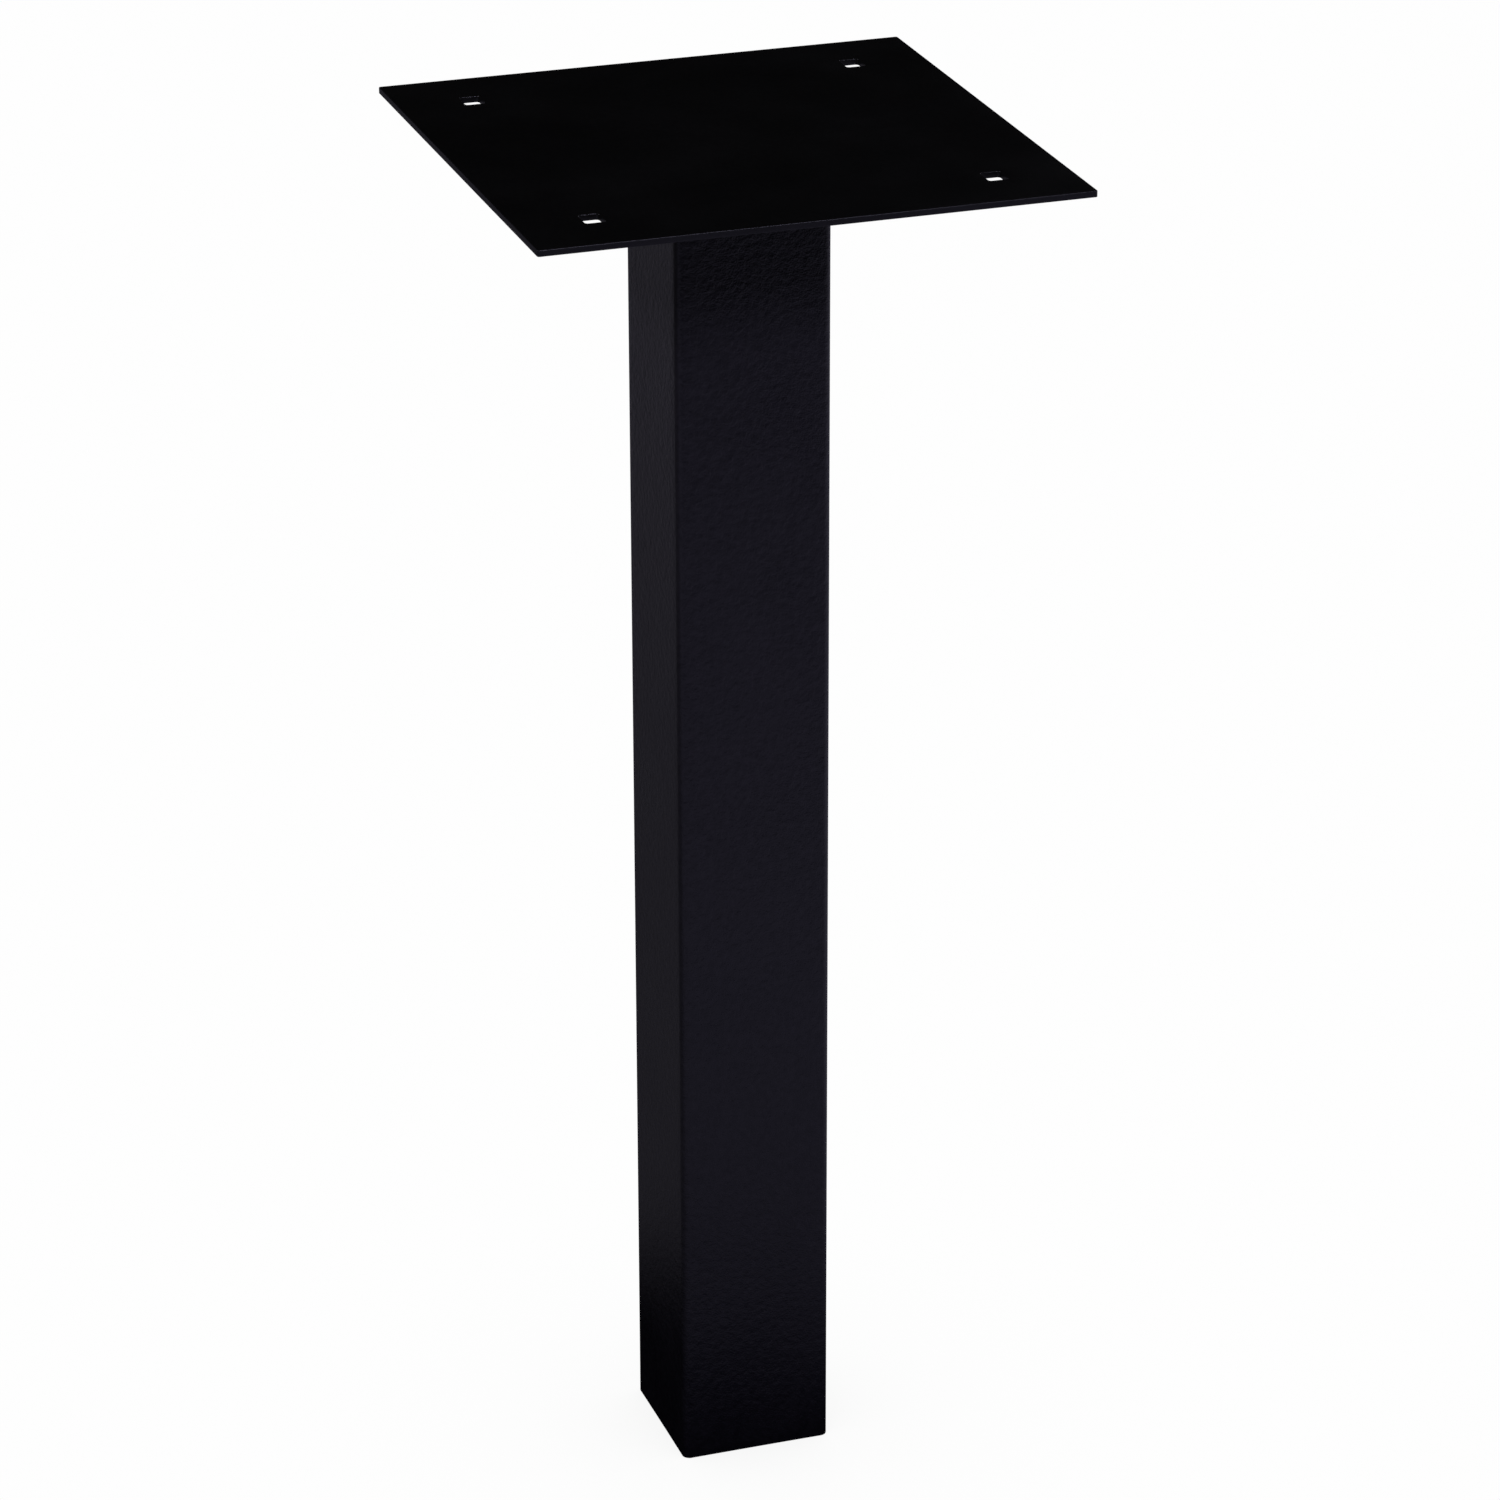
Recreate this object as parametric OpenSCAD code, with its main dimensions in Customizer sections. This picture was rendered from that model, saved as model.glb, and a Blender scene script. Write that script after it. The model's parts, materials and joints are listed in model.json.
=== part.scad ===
// Display plinth: a square steel tube post under a flat top plate with four bolt slots.
// Millimetres, +Z up. The origin is the centre of the foot, on the floor.
// The front of the plinth faces -Y.

/* [Overall] */
// Height from the floor to the top of the plate
total_h = 900; // [400:5:1500]

/* [Post tube] */
// Outside width of the square tube (a 4 in section)
tube_w = 101.6; // [60:0.1:150]
// Wall thickness of the tube
tube_wall = 3.2; // [2:0.1:6]
// Outside radius of the tube's rolled corners
tube_corner_r = 5; // [4:0.5:10]

/* [Weld flash inside the tube] */
// Width of the flash that the mill leaves along the tube's seam
flash_w = 3; // [2:0.5:6]
// Height of the flash above the inner wall
flash_h = 0.7; // [0.3:0.1:1.5]
// Distance of the seam from the middle of the back wall
flash_offset = 14; // [-15:1:15]

/* [Top plate] */
// Side of the square plate
plate_w = 350; // [320:5:500]
// Thickness of the plate
plate_t = 4; // [3:0.5:10]
// Radius of the plate's corners
plate_corner_r = 1.5; // [1:0.5:10]
// Distance between the centres of neighbouring bolt slots
slot_pitch = 254; // [200:1:290]
// Width of each bolt slot, from side to side
slot_w = 13; // [9:0.5:20]
// Length of each bolt slot, from front to back
slot_l = 16.5; // [10:0.5:24]
// Radius of the slots' corners
slot_corner_r = 2; // [0.5:0.5:4]

/* [Fillet welds] */
// Leg of the fillet between the tube and the plate
weld_leg = 4.5; // [3:0.5:8]

/* [Hidden] */
tube_top = total_h - plate_t;
flat_half = tube_w / 2 - tube_corner_r;
inner_w = tube_w - 2 * tube_wall;
// A rolled corner keeps the wall's thickness, down to a small inner radius
least_inner_r = 0.5;
tube_inner_r = max(tube_corner_r - tube_wall, least_inner_r);
// The flash sinks this far into the wall, so that the two are one solid
flash_root = tube_wall / 2;
// Power that rounds the weld's face: 2 is a straight face, 1 a full quarter round
weld_fullness = 1.5;
weld_step = 15;
quarter = 90;
// The slot cutters run past both faces of the plate by this much
overcut = 1;
arc_fn = 64;
coat_post = "#1a191f";
coat_plate = "#0b0b0c";

// Rectangle with true arcs at its corners, centred on the origin
module rounded_rectangle(width, length, radius) {
    flat_w = width - 2 * radius;
    flat_l = length - 2 * radius;
    union() {
        square([width, flat_l], center = true);
        square([flat_w, length], center = true);
        for (sx = [-1, 1], sy = [-1, 1])
            translate([sx * flat_w / 2, sy * flat_l / 2])
                circle(r = radius, $fn = arc_fn);
    }
}

// Section of the tube: rolled corners and the seam's flash on the inner back wall
module tube_section() {
    difference() {
        rounded_rectangle(tube_w, tube_w, tube_corner_r);
        rounded_rectangle(inner_w, inner_w, tube_inner_r);
    }
    translate([flash_offset - flash_w / 2, inner_w / 2 - flash_h])
        square([flash_w, flash_h + flash_root]);
}

module post_tube() {
    color(coat_post)
        linear_extrude(tube_top)
            tube_section();
}

module top_plate() {
    color(coat_plate)
        translate([0, 0, tube_top])
            difference() {
                linear_extrude(plate_t)
                    rounded_rectangle(plate_w, plate_w, plate_corner_r);
                for (sx = [-1, 1], sy = [-1, 1])
                    translate([sx * slot_pitch / 2, sy * slot_pitch / 2, -overcut])
                        linear_extrude(plate_t + 2 * overcut)
                            rounded_rectangle(slot_w, slot_l, slot_corner_r);
            }
}

// Section of one fillet: X is out from the tube wall, Y is up to the plate
module fillet_section() {
    polygon(concat(
        [[0, 0]],
        [for (a = [0 : weld_step : quarter])
            [weld_leg * pow(cos(a), weld_fullness), -weld_leg * pow(sin(a), weld_fullness)]]
    ));
}

// One weld run: along the front wall, then round the corner at its right-hand end
module weld_run() {
    translate([-flat_half, -tube_w / 2, tube_top])
        rotate([90, 0, 90])
            linear_extrude(2 * flat_half)
                mirror([1, 0])
                    fillet_section();
    translate([flat_half, -flat_half, tube_top])
        rotate([0, 0, -quarter])
            rotate_extrude(angle = quarter, $fn = arc_fn)
                translate([tube_corner_r, 0])
                    fillet_section();
}

// The run for one side, counted anticlockwise from the front
module weld_on_side(side) {
    color(coat_post)
        rotate([0, 0, side * quarter])
            weld_run();
}

post_tube();
top_plate();
weld_on_side(0);  // weld_front
weld_on_side(1);  // weld_right
weld_on_side(2);  // weld_back
weld_on_side(3);  // weld_left
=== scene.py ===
"""Looks of the display plinth: a powder-coated steel tube post under a slotted, welded-on plate.

Metres, +Z up, the plinth's front facing -Y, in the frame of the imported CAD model.
"""

import json
from math import cos, exp, floor, pi, radians, sin

import bmesh
import bpy
from mathutils import Matrix, Vector, noise
from mathutils.geometry import delaunay_2d_cdt


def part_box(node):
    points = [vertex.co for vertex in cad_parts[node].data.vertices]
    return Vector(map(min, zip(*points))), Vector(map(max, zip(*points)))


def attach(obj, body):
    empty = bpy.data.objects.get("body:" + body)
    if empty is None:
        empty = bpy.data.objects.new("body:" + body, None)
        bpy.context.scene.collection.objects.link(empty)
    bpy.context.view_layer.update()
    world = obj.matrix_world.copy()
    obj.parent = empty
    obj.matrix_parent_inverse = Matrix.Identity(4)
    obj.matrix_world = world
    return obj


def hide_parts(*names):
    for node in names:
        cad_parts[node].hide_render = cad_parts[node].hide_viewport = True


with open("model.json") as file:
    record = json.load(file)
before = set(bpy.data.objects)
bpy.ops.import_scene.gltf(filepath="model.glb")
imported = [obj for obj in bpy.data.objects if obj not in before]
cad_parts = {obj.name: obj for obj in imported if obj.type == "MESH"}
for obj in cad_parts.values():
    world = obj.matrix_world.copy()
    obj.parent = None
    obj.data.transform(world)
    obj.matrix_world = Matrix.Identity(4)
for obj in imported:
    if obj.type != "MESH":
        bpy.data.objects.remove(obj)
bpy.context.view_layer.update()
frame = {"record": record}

MM = 0.001


# ---------------------------------------------------------------- dimensions, all from the frame
def mount(name):
    return next(m for m in frame["record"]["mounts"] if m["name"] == name)


tube_low, tube_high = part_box("post_tube")
plate_low, plate_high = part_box("top_plate")
weld_low, weld_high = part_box("weld_front")

TUBE_HALF = tube_high.x
TUBE_TOP = tube_high.z
# The front weld begins where the post's corner rounding ends
CORNER_R = TUBE_HALF + weld_low.x
# The foot's mount is half-way through the right wall
WALL = 2 * (TUBE_HALF - mount("foot_end")["pos_m"][0])
INNER_HALF = TUBE_HALF - WALL
LEAST_INNER_R = 0.5 * MM
INNER_R = max(CORNER_R - WALL, LEAST_INNER_R)
WELD_LEG = TUBE_TOP - weld_low.z
PLATE_HALF = plate_high.x
PLATE_TOP = plate_high.z
SLOT = mount("top_slots")["dims"]
SLOT_HALF_X = SLOT["hole_r_mm"] * MM
SLOT_HALF_Y = SLOT["slot_length_mm"] / 2 * MM
SLOT_OFFSET = SLOT["spacing_x_mm"] / 2 * MM

# Details that the record doesn't give, or that are too small for the CAD model
PLATE_CORNER_R = 1.5 * MM
SLOT_CORNER_R = 2.0 * MM
PLATE_EDGE_R = 0.35 * MM
SLOT_RIM_R = 0.3 * MM
CUT_EDGE_R = 0.45 * MM
SEAM_X = 14 * MM
SEAM_HALF = 1.5 * MM
SEAM_HEIGHT = 0.7 * MM
SEAM_SINK = WALL / 3


# ---------------------------------------------------------------- mesh helpers
def piece(name, mesh, material, replaces=None):
    """A smooth-shaded object that rides on the one body and takes the given material."""
    obj = bpy.data.objects.new(name, mesh)
    bpy.context.scene.collection.objects.link(obj)
    obj.data.materials.append(material)
    mesh.polygons.foreach_set("use_smooth", [True] * len(mesh.polygons))
    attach(obj, "root")
    if replaces:
        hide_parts(replaces)
    return obj


def mesh_from(name, vertices, faces):
    """A mesh with outward normals."""
    mesh = bpy.data.meshes.new(name)
    mesh.from_pydata([tuple(v) for v in vertices], [], faces)
    bm = bmesh.new()
    bm.from_mesh(mesh)
    bmesh.ops.recalc_face_normals(bm, faces=bm.faces)
    bm.to_mesh(mesh)
    bm.free()
    mesh.update()
    return mesh


def rounded_rectangle(half_x, half_y, radius, arc_steps, flat_steps):
    """Points anticlockwise round a rectangle with arcs at its corners, and their outward normals."""
    centres = [
        Vector((sx * (half_x - radius), sy * (half_y - radius)))
        for sx, sy in ((1, 1), (-1, 1), (-1, -1), (1, -1))
    ]
    points = []
    for quarter, centre in enumerate(centres):
        following = centres[(quarter + 1) % 4]
        for i in range(arc_steps + 1):
            angle = pi / 2 * (quarter + i / arc_steps)
            normal = Vector((cos(angle), sin(angle)))
            points.append((centre + radius * normal, normal))
        for i in range(1, flat_steps):
            points.append((centre.lerp(following, i / flat_steps) + radius * normal, normal))
    return points


def bar_faces(sections, row):
    """Faces of a solid bar through this many sections of row points each, with both ends closed."""
    faces = []
    for k in range(sections - 1):
        for i in range(row):
            a, b = k * row + i, k * row + (i + 1) % row
            faces.append((a, b, b + row, a + row))
    faces.append(tuple(range(row)))
    faces.append(tuple(reversed(range((sections - 1) * row, sections * row))))
    return faces


def ease(t):
    """From 0 to 1 with a soft start and end."""
    t = min(1, max(0, t))
    return t * t * (3 - 2 * t)


# ---------------------------------------------------------------- the post
ARC_STEPS = 10
FLAT_STEPS = 14
RIM_STEPS = 4
RING_PITCH = 12 * MM
# A rolled wall is a little hollow between its corners, and not quite straight
WALL_HOLLOW = 0.16 * MM
WALL_WAVE = 0.07 * MM
WAVE_LENGTH = 0.16
WAVES_PER_METRE_ACROSS = 9


def wall_relief(point, z, half, radius):
    """How far a rolled wall stands in from true flat, in metres."""
    along = min(abs(point.x), abs(point.y)) / (half - radius)
    hollow = WALL_HOLLOW * max(0, 1 - along**2)
    across = point * WAVES_PER_METRE_ACROSS
    wave = WALL_WAVE * noise.noise(Vector((across.x, across.y, z / WAVE_LENGTH)))
    return hollow + wave * max(0, 1 - along**4)


def tube_levels():
    """(height, how far the cut edge's rounding pulls the surface in) from foot to top."""
    steps = [(pi / 2) * i / RIM_STEPS for i in range(RIM_STEPS + 1)]
    foot = [(CUT_EDGE_R * (1 - sin(a)), CUT_EDGE_R * (1 - cos(a))) for a in reversed(steps)]
    count = round((TUBE_TOP - 2 * CUT_EDGE_R) / RING_PITCH)
    middle = [
        (CUT_EDGE_R + (TUBE_TOP - 2 * CUT_EDGE_R) * i / count, 0.0) for i in range(1, count)
    ]
    top = [(TUBE_TOP - z, inset) for z, inset in reversed(foot)]
    return foot + middle + top


def post_mesh():
    """The tube: an outer and an inner skin joined over both cut ends."""
    vertices, faces = [], []
    outline = rounded_rectangle(TUBE_HALF, TUBE_HALF, CORNER_R, ARC_STEPS, FLAT_STEPS)
    bore = rounded_rectangle(INNER_HALF, INNER_HALF, INNER_R, ARC_STEPS, FLAT_STEPS)
    row = len(outline)
    levels = tube_levels()
    for z, inset in levels:
        for point, normal in outline:
            relief = wall_relief(point, z, TUBE_HALF, CORNER_R)
            x, y = point - normal * (inset + relief)
            vertices.append((x, y, z))
    for z, inset in levels:
        for point, normal in bore:
            relief = wall_relief(point, z, INNER_HALF, INNER_R)
            x, y = point + normal * (inset - relief)
            vertices.append((x, y, z))
    inner = row * len(levels)
    for ring in range(len(levels) - 1):
        for i in range(row):
            a, b = ring * row + i, ring * row + (i + 1) % row
            faces.append((a, b, b + row, a + row))
            faces.append((inner + a, inner + a + row, inner + b + row, inner + b))
    last = row * (len(levels) - 1)
    for i in range(row):
        j = (i + 1) % row
        faces.append((i, inner + i, inner + j, j))
        faces.append((last + i, last + j, inner + last + j, inner + last + i))
    return mesh_from("post_shell", vertices, faces)


SEAM_STEP = 1.6 * MM
SEAM_ACROSS = 8
SEAM_WANDER = 0.35 * MM
SEAM_WANDER_LENGTH = 50 * MM
SEAM_WANDER_SEED = 3.1
SEAM_UNEVEN = 0.15
SEAM_UNEVEN_LENGTH = 6 * MM
SEAM_UNEVEN_SEED = 7.7
# The flash is this much of its height at the cut ends, and rises to the rest over SEAM_END
SEAM_END = 2 * MM
SEAM_END_SHARE = 0.6


def seam_mesh():
    """The mill's weld flash along the inner back wall, a low uneven bead."""
    vertices = []
    count = round(TUBE_TOP / SEAM_STEP)
    for k in range(count + 1):
        z = CUT_EDGE_R + (TUBE_TOP - 2 * CUT_EDGE_R) * k / count
        wander = SEAM_WANDER * noise.noise(Vector((SEAM_WANDER_SEED, 0, z / SEAM_WANDER_LENGTH)))
        uneven = SEAM_UNEVEN * noise.noise(Vector((0, SEAM_UNEVEN_SEED, z / SEAM_UNEVEN_LENGTH)))
        rise = ease(min(z, TUBE_TOP - z) / SEAM_END)
        share = SEAM_END_SHARE + (1 - SEAM_END_SHARE) * rise
        tall = SEAM_HEIGHT * (1 - SEAM_UNEVEN + uneven) * share
        for i in range(SEAM_ACROSS + 1):
            angle = pi * i / SEAM_ACROSS
            x = SEAM_X + wander + SEAM_HALF * cos(angle)
            y = INNER_HALF + SEAM_SINK - (tall + SEAM_SINK) * sin(angle)
            vertices.append((x, y, z))
    return mesh_from("seam_flash", vertices, bar_faces(count + 1, SEAM_ACROSS + 1))


# ---------------------------------------------------------------- the plate
PLATE_ARC_STEPS = 8
PLATE_FLAT_STEPS = 24
SLOT_ARC_STEPS = 6
SLOT_FLAT_STEPS = 6
GRID = 14 * MM
# Points of the grid keep this far from a slot
GRID_CLEAR = 4 * MM
# Welding the underside leaves the plate very slightly dished
PLATE_WAVE = 0.10 * MM
PLATE_WAVE_RIM = 30 * MM
PLATE_WAVE_LENGTH = 90 * MM
PLATE_WAVE_SEED = 4.2
# How much of the dish's depth varies from place to place
PLATE_WAVE_UNEVEN = 0.4
# Points of a sheet that are closer than this are one
SAME_POINT = 1e-7

# The plate's second material, round its cut edge, painted lighter than the plate's top: painted
# light on the edge face
EDGE_COAT_INDEX = 1

SLOT_CENTRES = [Vector((sx, sy)) * SLOT_OFFSET for sx in (-1, 1) for sy in (-1, 1)]


def plate_relief(x, y):
    """Height of the plate's surface above true flat, nought at its rim."""
    rim = ease((PLATE_HALF - max(abs(x), abs(y))) / PLATE_WAVE_RIM)
    across = Vector((x, y)) / PLATE_WAVE_LENGTH
    ripple = PLATE_WAVE_UNEVEN * noise.noise(Vector((across.x, across.y, PLATE_WAVE_SEED)))
    return -PLATE_WAVE * rim * (1 - PLATE_WAVE_UNEVEN + ripple)


def plate_loop(inset):
    """The plate's outline, pulled in by inset."""
    loop = rounded_rectangle(
        PLATE_HALF, PLATE_HALF, PLATE_CORNER_R, PLATE_ARC_STEPS, PLATE_FLAT_STEPS
    )
    return [point - normal * inset for point, normal in loop]


def slot_loop(centre, outset):
    """One slot's edge, pushed out by outset."""
    loop = rounded_rectangle(
        SLOT_HALF_X, SLOT_HALF_Y, SLOT_CORNER_R, SLOT_ARC_STEPS, SLOT_FLAT_STEPS
    )
    return [centre + point + normal * outset for point, normal in loop]


def in_a_slot(point, margin):
    """Whether the point is inside a slot, or within margin of one."""
    return any(
        abs(point.x - centre.x) < SLOT_HALF_X + margin
        and abs(point.y - centre.y) < SLOT_HALF_Y + margin
        for centre in SLOT_CENTRES
    )


def face_points(loops):
    """A sheet between the outline and the slots: its points, and triangles over them."""
    points, edges = [], []
    for loop in loops:
        start = len(points)
        points += loop
        edges += [(start + i, start + (i + 1) % len(loop)) for i in range(len(loop))]
    cells = round(PLATE_HALF / GRID)
    for i in range(-cells + 1, cells):
        for j in range(-cells + 1, cells):
            point = Vector((i, j)) * PLATE_HALF / cells
            if not in_a_slot(point, GRID_CLEAR):
                points.append(point)
    found, _, triangles, _, _, _ = delaunay_2d_cdt(points, edges, [], 0, SAME_POINT)
    kept = []
    for triangle in triangles:
        middle = sum((found[i] for i in triangle), Vector((0, 0))) / 3
        if not in_a_slot(middle, 0):
            kept.append(tuple(triangle))
    return found, kept


def plate_mesh():
    """The plate, with rounded rims round its outline and its four slots."""
    edge_loops = [(plate_loop, PLATE_EDGE_R)]
    edge_loops += [
        (lambda outset, centre=centre: slot_loop(centre, outset), SLOT_RIM_R)
        for centre in SLOT_CENTRES
    ]
    found, triangles = face_points([loop(radius) for loop, radius in edge_loops])
    bottom = plate_low.z
    vertices = [(p.x, p.y, PLATE_TOP + plate_relief(p.x, p.y)) for p in found]
    faces = list(triangles)
    under = len(vertices)
    vertices += [(p.x, p.y, bottom + plate_relief(p.x, p.y)) for p in found]
    faces += [tuple(under + i for i in reversed(t)) for t in triangles]
    start = 0
    for loop, radius in edge_loops:
        count = len(loop(radius))
        rings = [[start + i for i in range(count)]]
        for z_end, sign in ((PLATE_TOP, -1), (bottom, 1)):
            steps = range(1, RIM_STEPS + 1) if sign < 0 else range(RIM_STEPS, 0, -1)
            for k in steps:
                angle = pi / 2 * k / RIM_STEPS
                first = len(vertices)
                for p in loop(radius * (1 - sin(angle))):
                    z = z_end + sign * radius * (1 - cos(angle)) + plate_relief(p.x, p.y)
                    vertices.append((p.x, p.y, z))
                rings.append([first + i for i in range(count)])
        rings.append([under + start + i for i in range(count)])
        for upper, lower in zip(rings, rings[1:]):
            for i in range(count):
                j = (i + 1) % count
                faces.append((upper[i], upper[j], lower[j], lower[i]))
        start += count
    mesh = mesh_from("plate_skin", vertices, faces)
    sheets = 2 * len(triangles)
    around_edge = len(plate_loop(PLATE_EDGE_R)) * (2 * RIM_STEPS + 1)
    for edge_face in mesh.polygons[sheets : sheets + around_edge]:
        edge_face.material_index = EDGE_COAT_INDEX
    return mesh


# ---------------------------------------------------------------- the welds
WELD_STEP = 0.35 * MM
WELD_ACROSS = 12
RIPPLE_PITCH = 2.3 * MM
RIPPLE_DEPTH = 0.055
RIPPLE_SWEEP = 1.1 * MM
# A ripple rises over this share of its pitch, and falls over the rest
RIPPLE_RISE = 0.25
WELD_SINK = 0.4 * MM
# A power of 1 would make the bead's section round, and 2 flat
WELD_SECTION_POWER = 1.5
# The bead's size as a share of the CAD model's legs, and what its start, its end and chance add
WELD_FULLNESS = 0.93
WELD_UNEVEN = 0.05
WELD_UNEVEN_LENGTH = 11 * MM
WELD_UNEVEN_SEED = 5.3
START_SWELL = 0.06
START_LENGTH = 4 * MM
CRATER_HOLLOW = -0.12
CRATER_LENGTH = 3 * MM


def weld_path(distance):
    """Point on the tube's wall and its outward normal, this far along a run from its left end."""
    straight = 2 * (TUBE_HALF - CORNER_R)
    flat = TUBE_HALF - CORNER_R
    if distance <= straight:
        return Vector((-flat + distance, -TUBE_HALF)), Vector((0, -1))
    angle = (distance - straight) / CORNER_R
    normal = Vector((sin(angle), -cos(angle)))
    return Vector((flat, -flat)) + CORNER_R * normal, normal


def weld_size(distance, length, seed):
    """The bead's size along its run: fuller where it starts, hollow in the last crater."""
    spot = Vector((distance / WELD_UNEVEN_LENGTH, seed * WELD_UNEVEN_SEED, 0))
    uneven = WELD_UNEVEN * noise.noise(spot)
    start = START_SWELL * exp(-((distance / START_LENGTH) ** 2))
    crater = CRATER_HOLLOW * exp(-(((length - distance) / CRATER_LENGTH) ** 2))
    return WELD_FULLNESS + uneven + start + crater


def ripple_crest(phase):
    """A ripple's height over its pitch: a quick rise and a slow fall."""
    saw = phase - floor(phase)
    if saw > RIPPLE_RISE:
        return 1 - saw
    return saw * (1 - RIPPLE_RISE) / RIPPLE_RISE


def weld_mesh(name, side):
    """One rippled fillet run on the given side, counted anticlockwise from the front."""
    turn = Matrix.Rotation(side * pi / 2, 2)
    length = 2 * (TUBE_HALF - CORNER_R) + CORNER_R * pi / 2
    count = round(length / WELD_STEP)
    vertices = []
    for k in range(count + 1):
        distance = length * k / count
        point, normal = weld_path(distance)
        size = weld_size(distance, length, side)
        for i in range(WELD_ACROSS + 1):
            share = i / WELD_ACROSS
            angle = pi / 2 * share
            bow = RIPPLE_SWEEP * (1 - (2 * share - 1) ** 2)
            crest = ripple_crest((distance + bow) / RIPPLE_PITCH) - 0.5
            leg = WELD_LEG * (size + RIPPLE_DEPTH * crest * sin(pi * share))
            out = leg * cos(angle) ** WELD_SECTION_POWER
            down = leg * sin(angle) ** WELD_SECTION_POWER
            x, y = turn @ (point + normal * out)
            vertices.append((x, y, TUBE_TOP - down))
        x, y = turn @ (point - normal * WELD_SINK)
        vertices.append((x, y, TUBE_TOP))
    return mesh_from(name, vertices, bar_faces(count + 1, WELD_ACROSS + 2))


# ---------------------------------------------------------------- materials
# The coat's noises: the size of a blotch, the octaves of detail and how strong the fine ones are
PEEL = (4.0 * MM, 2.0, 0.5)
GRAIN = (1.0 * MM, 1.0, 0.5)
CLOUD = (0.11, 3.0, 0.6)
MOTTLE = (4.5 * MM, 3.0, 0.6)
# The colour goes from dark to light over this range of its mixed noise
MOTTLE_SHARE = 0.65
TONE_RANGE = (0.32, 0.68)
# The roughness varies from its mean by this spread over this range of its mixed noise
GLOSS_CLOUD_SHARE = 0.5
GLOSS_RANGE = (0.25, 0.75)
GLOSS_SPREAD = (-0.05, 0.07)
COAT_IOR = 1.5


def node(tree, kind, **settings):
    made = tree.nodes.new(kind)
    for key, value in settings.items():
        setattr(made, key, value)
    return made


def noise_node(tree, where, size, detail, roughness):
    """Noise whose blotches are about this size in metres, from 0 to 1."""
    made = node(tree, "ShaderNodeTexNoise")
    made.inputs["Scale"].default_value = 1 / size
    made.inputs["Detail"].default_value = detail
    made.inputs["Roughness"].default_value = roughness
    tree.links.new(where, made.inputs["Vector"])
    return made.outputs["Fac"]


def remap(tree, value, low, high, to_low, to_high):
    made = node(tree, "ShaderNodeMapRange", interpolation_type="SMOOTHSTEP")
    for socket, number in zip(
        ("From Min", "From Max", "To Min", "To Max"), (low, high, to_low, to_high)
    ):
        made.inputs[socket].default_value = number
    tree.links.new(value, made.inputs["Value"])
    return made.outputs["Result"]


def maths(tree, operation, first, second):
    made = node(tree, "ShaderNodeMath", operation=operation)
    for socket, given in zip(made.inputs, (first, second)):
        if isinstance(given, (int, float)):
            socket.default_value = given
        else:
            tree.links.new(given, socket)
    return made.outputs[0]


def blend(tree, first, second, share):
    """The sum of this share of the first value and the rest of the second."""
    second_part = maths(tree, "MULTIPLY", second, 1 - share)
    return maths(tree, "ADD", maths(tree, "MULTIPLY", first, share), second_part)


def powder_coat(name, light, dark, roughness, peel_depth, grain_depth):
    """Powder coat: orange peel, a fine grain, a cloudy gloss and a mottled near-black colour."""
    material = bpy.data.materials.new(name)
    material.use_nodes = True
    tree = material.node_tree
    shader = tree.nodes["Principled BSDF"]
    where = node(tree, "ShaderNodeTexCoord").outputs["Object"]

    peel, grain, cloud, mottle = (
        noise_node(tree, where, *settings) for settings in (PEEL, GRAIN, CLOUD, MOTTLE)
    )

    height = maths(tree, "MULTIPLY", peel, peel_depth)
    height = maths(tree, "ADD", height, maths(tree, "MULTIPLY", grain, grain_depth))
    bump = node(tree, "ShaderNodeBump")
    bump.inputs["Strength"].default_value = 1.0
    bump.inputs["Distance"].default_value = 1.0
    tree.links.new(height, bump.inputs["Height"])
    tree.links.new(bump.outputs["Normal"], shader.inputs["Normal"])

    tone = blend(tree, mottle, cloud, MOTTLE_SHARE)
    mix = node(tree, "ShaderNodeMix", data_type="RGBA")
    mix.inputs["A"].default_value = (*dark, 1)
    mix.inputs["B"].default_value = (*light, 1)
    tree.links.new(remap(tree, tone, *TONE_RANGE, 0.0, 1.0), mix.inputs["Factor"])
    tree.links.new(mix.outputs["Result"], shader.inputs["Base Color"])

    gloss = blend(tree, cloud, grain, GLOSS_CLOUD_SHARE)
    least, most = (roughness + change for change in GLOSS_SPREAD)
    tree.links.new(remap(tree, gloss, *GLOSS_RANGE, least, most), shader.inputs["Roughness"])
    shader.inputs["IOR"].default_value = COAT_IOR
    return material


# The floor as the coat reflects it, all painted light and shade in its glow: painted shade close to
# the plinth, where the plinth would shade it, which darkens the post's foot, and two painted pools
# of light, one in front and one behind on the right. Past the front pool's end the glow fades out: a
# painted shade that stands for the plate's shadow on the post's face just under the plate. The pairs
# are distances from the plinth's axis between which a glow comes in or fades out, in all directions
# or along the pool's own
FRONT_POOL_AZIMUTH = 18.6
FRONT_POOL_COLOR = (0.90, 0.86, 1.30)
FRONT_POOL_GLOW = 0.139
FRONT_POOL_SHADE = (0.085, 0.215)
FRONT_POOL_SIDE = (-0.12, 0.5)
# Painted shade: the glow fades out over this range, so the post's face under the plate reads dark
FRONT_POOL_END = (1.86, 2.08)
BACK_POOL_AZIMUTH = 110
BACK_POOL_COLOR = (0.95, 0.90, 1.15)
BACK_POOL_GLOW = 0.12
BACK_POOL_SIDE = (0.1, 0.6)
FLOOR_COLOR = (0.95, 0.90, 1.12)
FLOOR_GLOW = 0.058
FLOOR_SHADE = (0.16, 0.36)
# Share of the floor's own glow that is left past the front pool's end
LEFT_AT_END = 0.05
FLOOR_HALF = 30.0
# The floor and backdrop as the camera sees them
PALE = 0.99
CONTACT_TONE = 0.86
CONTACT_REACH = 0.25
CONTACT_SAMPLES = 6


def glow(tree, color, strength):
    made = node(tree, "ShaderNodeEmission")
    made.inputs["Color"].default_value = (*color, 1)
    tree.links.new(strength, made.inputs["Strength"])
    return made.outputs[0]


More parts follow.
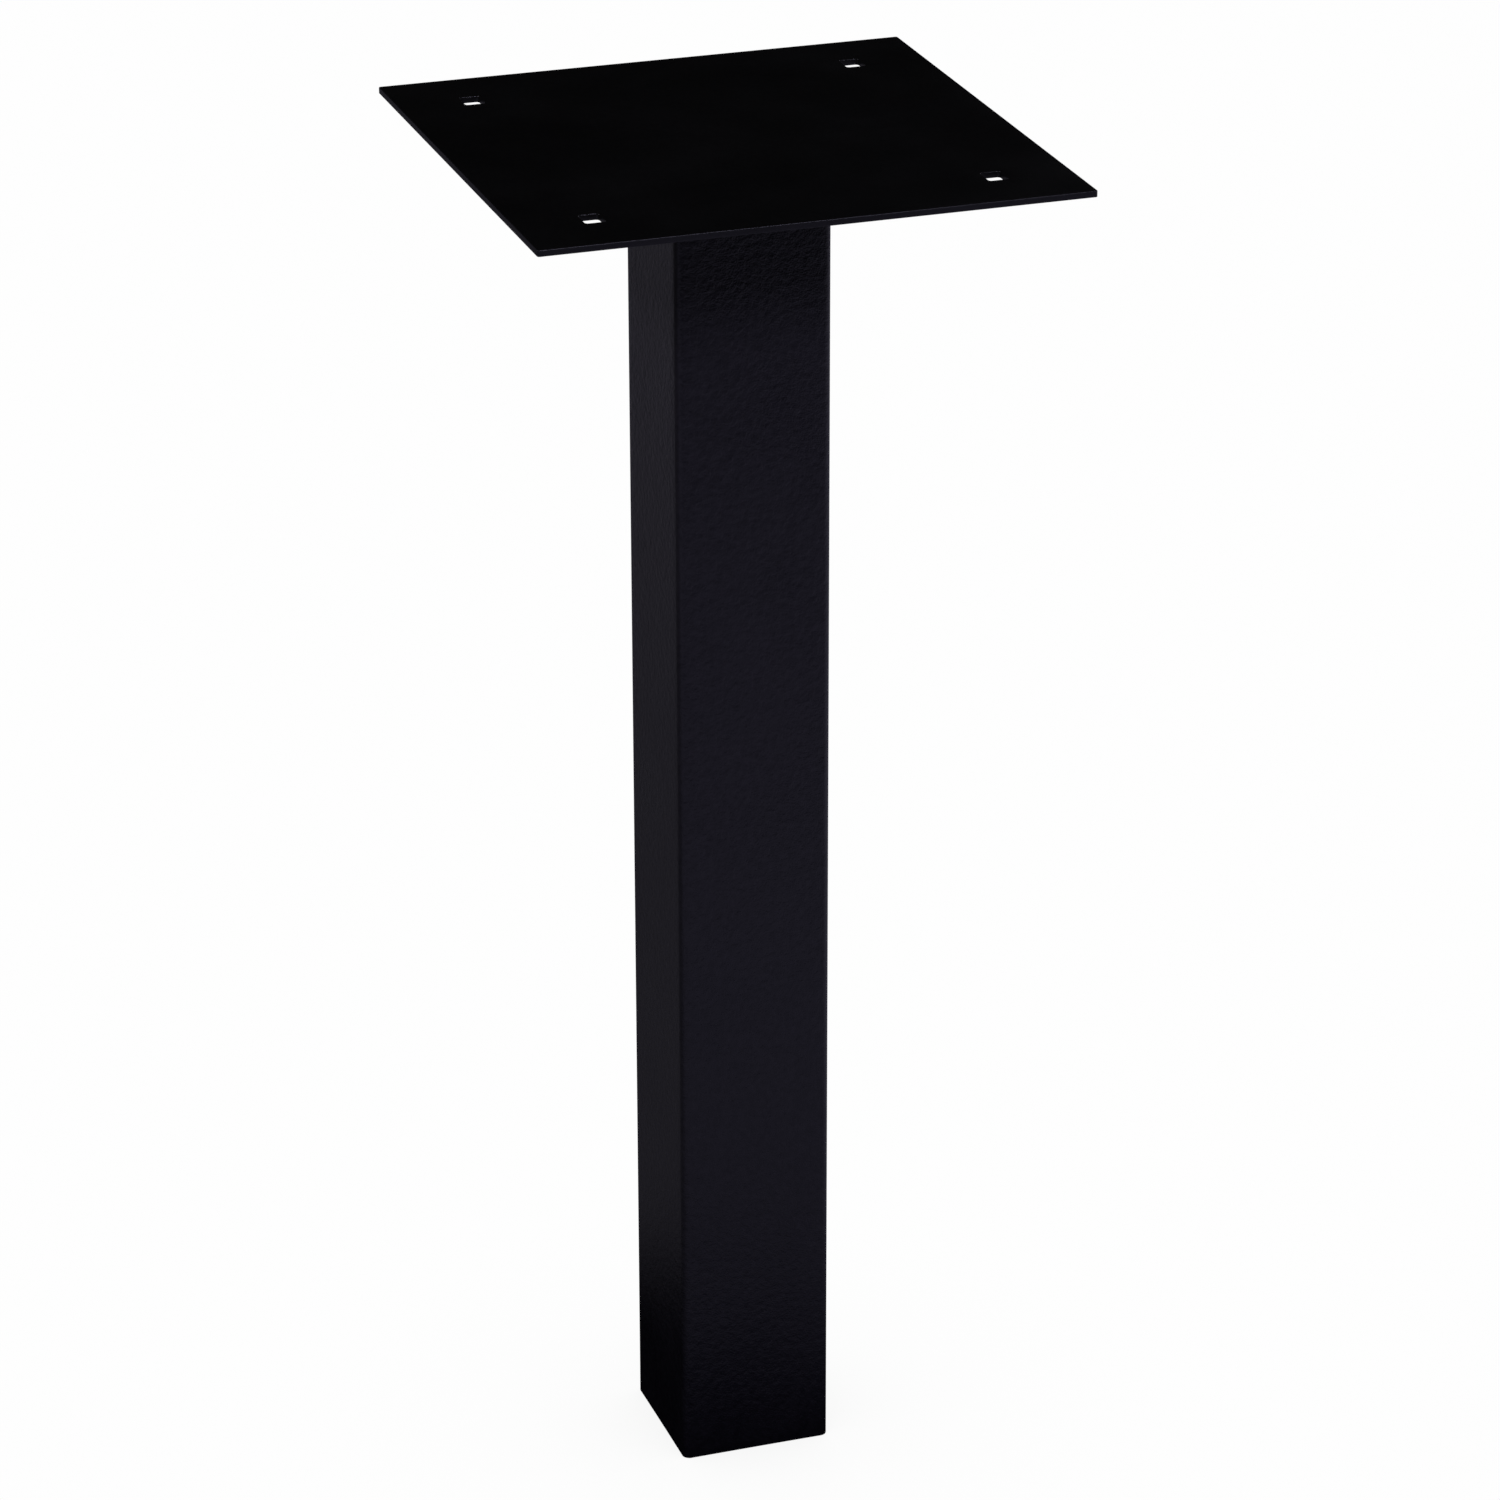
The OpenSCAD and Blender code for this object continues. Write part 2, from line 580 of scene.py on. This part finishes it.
def added(tree, first, second):
    """Two shaders, one on top of the other."""
    both = node(tree, "ShaderNodeAddShader")
    tree.links.new(first, both.inputs[0])
    tree.links.new(second, both.inputs[1])
    return both.outputs[0]


def glowing_floor(tree):
    """Emission that stands for the lit floor in reflections."""
    where = node(tree, "ShaderNodeTexCoord").outputs["Object"]
    reach = node(tree, "ShaderNodeVectorMath", operation="LENGTH")
    tree.links.new(where, reach.inputs[0])
    distance = reach.outputs["Value"]

    def towards(azimuth):
        dot = node(tree, "ShaderNodeVectorMath", operation="DOT_PRODUCT")
        dot.inputs[1].default_value = around(azimuth, 0, 1, (0, 0, 0))
        tree.links.new(where, dot.inputs[0])
        return dot.outputs["Value"]

    def product(first, second):
        return maths(tree, "MULTIPLY", first, second)

    front = towards(FRONT_POOL_AZIMUTH)
    front_pool = product(
        remap(tree, distance, *FRONT_POOL_SHADE, 0.0, FRONT_POOL_GLOW),
        product(
            remap(tree, front, *FRONT_POOL_SIDE, 0.0, 1.0),
            remap(tree, front, *FRONT_POOL_END, 1.0, 0.0),
        ),
    )
    shade = remap(tree, distance, *FLOOR_SHADE, 0.0, 1.0)
    back = remap(tree, towards(BACK_POOL_AZIMUTH), *BACK_POOL_SIDE, 0.0, BACK_POOL_GLOW)
    rest = remap(tree, front, *FRONT_POOL_END, FLOOR_GLOW, FLOOR_GLOW * LEFT_AT_END)
    pools = added(
        tree,
        glow(tree, FRONT_POOL_COLOR, front_pool),
        glow(tree, BACK_POOL_COLOR, product(shade, back)),
    )
    return added(tree, pools, glow(tree, FLOOR_COLOR, product(shade, rest)))


def pale_floor(tree):
    """Emission that the camera sees: pale, with a soft contact shadow."""
    occlusion = node(tree, "ShaderNodeAmbientOcclusion", samples=CONTACT_SAMPLES)
    occlusion.inputs["Distance"].default_value = CONTACT_REACH
    pale = node(tree, "ShaderNodeEmission")
    pale.inputs["Color"].default_value = (1, 1, 1, 1)
    tone = remap(tree, occlusion.outputs["AO"], 0.0, 1.0, CONTACT_TONE, PALE)
    tree.links.new(tone, pale.inputs["Strength"])
    return pale.outputs[0]


def mixed(tree, share, first, second):
    """The second shader where share is 1, the first where it is 0."""
    mix = node(tree, "ShaderNodeMixShader")
    for socket, given in zip(mix.inputs, (share, first, second)):
        tree.links.new(given, socket)
    return mix.outputs[0]


def floor_material():
    """Pale to the camera, a dim glow to the coat, and clear from below, so the foot can be seen."""
    material = bpy.data.materials.new("pale_floor")
    material.use_nodes = True
    tree = material.node_tree
    tree.nodes.clear()
    from_camera = node(tree, "ShaderNodeLightPath").outputs["Is Camera Ray"]
    from_below = node(tree, "ShaderNodeNewGeometry").outputs["Backfacing"]
    clear = node(tree, "ShaderNodeBsdfTransparent").outputs[0]
    lit = mixed(tree, from_camera, glowing_floor(tree), pale_floor(tree))
    output = node(tree, "ShaderNodeOutputMaterial")
    tree.links.new(mixed(tree, from_below, lit, clear), output.inputs["Surface"])
    return material


# ---------------------------------------------------------------- the studio
ROOM_LOW = 0.0015
ROOM_HIGH = 0.006
# The ceiling's light comes in between these heights of the direction's unit vector
ROOM_RISE = (0.3, 1.0)


def studio_floor():
    mesh = bpy.data.meshes.new("studio_floor")
    h = FLOOR_HALF
    mesh.from_pydata([(-h, -h, 0), (h, -h, 0), (h, h, 0), (-h, h, 0)], [], [(0, 1, 2, 3)])
    obj = bpy.data.objects.new("studio_floor", mesh)
    bpy.context.scene.collection.objects.link(obj)
    mesh.materials.append(floor_material())


def studio_world():
    """Pale to the camera, and to everything else a dark room with a slightly lighter ceiling."""
    world = bpy.data.worlds.new("studio")
    bpy.context.scene.world = world
    world.use_nodes = True
    tree = world.node_tree
    tree.nodes.clear()
    backdrop = node(tree, "ShaderNodeBackground")
    backdrop.inputs["Color"].default_value = (1, 1, 1, 1)
    backdrop.inputs["Strength"].default_value = PALE
    room = node(tree, "ShaderNodeBackground")
    direction = node(tree, "ShaderNodeSeparateXYZ")
    tree.links.new(node(tree, "ShaderNodeTexCoord").outputs["Generated"], direction.inputs[0])
    tone = remap(tree, direction.outputs["Z"], *ROOM_RISE, ROOM_LOW, ROOM_HIGH)
    tree.links.new(tone, room.inputs["Strength"])
    from_camera = node(tree, "ShaderNodeLightPath").outputs["Is Camera Ray"]
    output = node(tree, "ShaderNodeOutputWorld")
    seen = mixed(tree, from_camera, room.outputs[0], backdrop.outputs[0])
    tree.links.new(seen, output.inputs["Surface"])


def around(azimuth, elevation, distance, target):
    """Where something stands round the plinth: azimuth 0 is in front of it, 90 to its right."""
    a, e = radians(azimuth), radians(elevation)
    return Vector(target) + distance * Vector((sin(a) * cos(e), -cos(a) * cos(e), sin(e)))


def soft_box(name, azimuth, elevation, distance, target, width, height, power, color):
    """A rectangular soft light that faces its target."""
    data = bpy.data.lights.new(name, "AREA")
    data.shape = "RECTANGLE"
    data.size = width
    data.size_y = height
    data.energy = power
    data.color = color
    obj = bpy.data.objects.new(name, data)
    obj.location = around(azimuth, elevation, distance, target)
    obj.rotation_mode = "QUATERNION"
    obj.rotation_quaternion = (Vector(target) - obj.location).to_track_quat("-Z", "Y")
    obj.visible_camera = False
    bpy.context.scene.collection.objects.link(obj)


CAMERA_AZIMUTH = -18.68
CAMERA_ELEVATION = 23.34
CAMERA_ROLL = -0.12
CAMERA_DISTANCE = 3.6165
CAMERA_LENS = 134.4
CAMERA_SENSOR = 36
TARGET_X = 0.0136
TARGET_HEIGHT = 0.4871


def camera():
    data = bpy.data.cameras.new("camera")
    data.sensor_width = CAMERA_SENSOR
    data.lens = CAMERA_LENS
    obj = bpy.data.objects.new("camera", data)
    target = (TARGET_X, 0, TARGET_HEIGHT)
    obj.location = around(CAMERA_AZIMUTH, CAMERA_ELEVATION, CAMERA_DISTANCE, target)
    aim = (Vector(target) - obj.location).to_track_quat("-Z", "Y").to_matrix().to_4x4()
    roll = Matrix.Rotation(radians(CAMERA_ROLL), 4, "Z")
    obj.rotation_mode = "QUATERNION"
    obj.rotation_quaternion = (aim @ roll).to_quaternion()
    bpy.context.scene.collection.objects.link(obj)
    bpy.context.scene.camera = obj


# ---------------------------------------------------------------- the scene
camera()

post_coat = powder_coat(
    "post_powder_coat",
    light=(0.0125, 0.0115, 0.0150),
    dark=(0.0060, 0.0056, 0.0080),
    roughness=0.31,
    peel_depth=0.46 * MM,
    grain_depth=0.16 * MM,
)
# The plate takes the post's black coat painted much darker: painted shade, so that the plate's top
# reads near black
plate_coat_painted_shade = powder_coat(
    "plate_powder_coat_painted_shade",
    light=(0.0022, 0.0022, 0.0018),
    dark=(0.0012, 0.0012, 0.0010),
    roughness=0.32,
    peel_depth=0.060 * MM,
    grain_depth=0.025 * MM,
)
# The coat is rougher round the plate's cut edge, and a little lighter there than on the plate's top:
# painted light on the edge face
edge_coat_painted_light = powder_coat(
    "edge_powder_coat_painted_light",
    light=(0.0055, 0.0052, 0.0068),
    dark=(0.0035, 0.0033, 0.0045),
    roughness=0.42,
    peel_depth=0.060 * MM,
    grain_depth=0.025 * MM,
)

piece("post_shell", post_mesh(), post_coat, "post_tube")
piece("seam_flash", seam_mesh(), post_coat)
plate = piece("plate_skin", plate_mesh(), plate_coat_painted_shade, "top_plate")
plate.data.materials.append(edge_coat_painted_light)
for side, place in enumerate(("front", "right", "back", "left")):
    name = f"weld_bead_{place}"
    piece(name, weld_mesh(name, side), post_coat, f"weld_{place}")

studio_floor()
studio_world()
MIDDLE = (0, 0, PLATE_TOP / 2)
FOOT = (0, 0, 0)
COOL = (0.92, 0.88, 1.20)
NEUTRAL = (0.97, 0.93, 1.12)
# name: azimuth, elevation, distance, target, width, height, power, colour
LIGHTS = {
    "key_front": (8, 42, 3.0, MIDDLE, 0.8, 0.6, 27, COOL),
    "key_left": (-95, 45, 3.0, MIDDLE, 0.8, 0.5, 26, NEUTRAL),
    "fill_right": (108, 40, 3.0, MIDDLE, 0.8, 0.5, 16, NEUTRAL),
    # Shines down the bore, so that the open foot can be read from below
    "bore_light": (0, 90, 0.5, FOOT, 0.08, 0.08, 4, NEUTRAL),
}
for light_name, settings in LIGHTS.items():
    soft_box(light_name, *settings)

bpy.context.scene.view_settings.view_transform = "Standard"
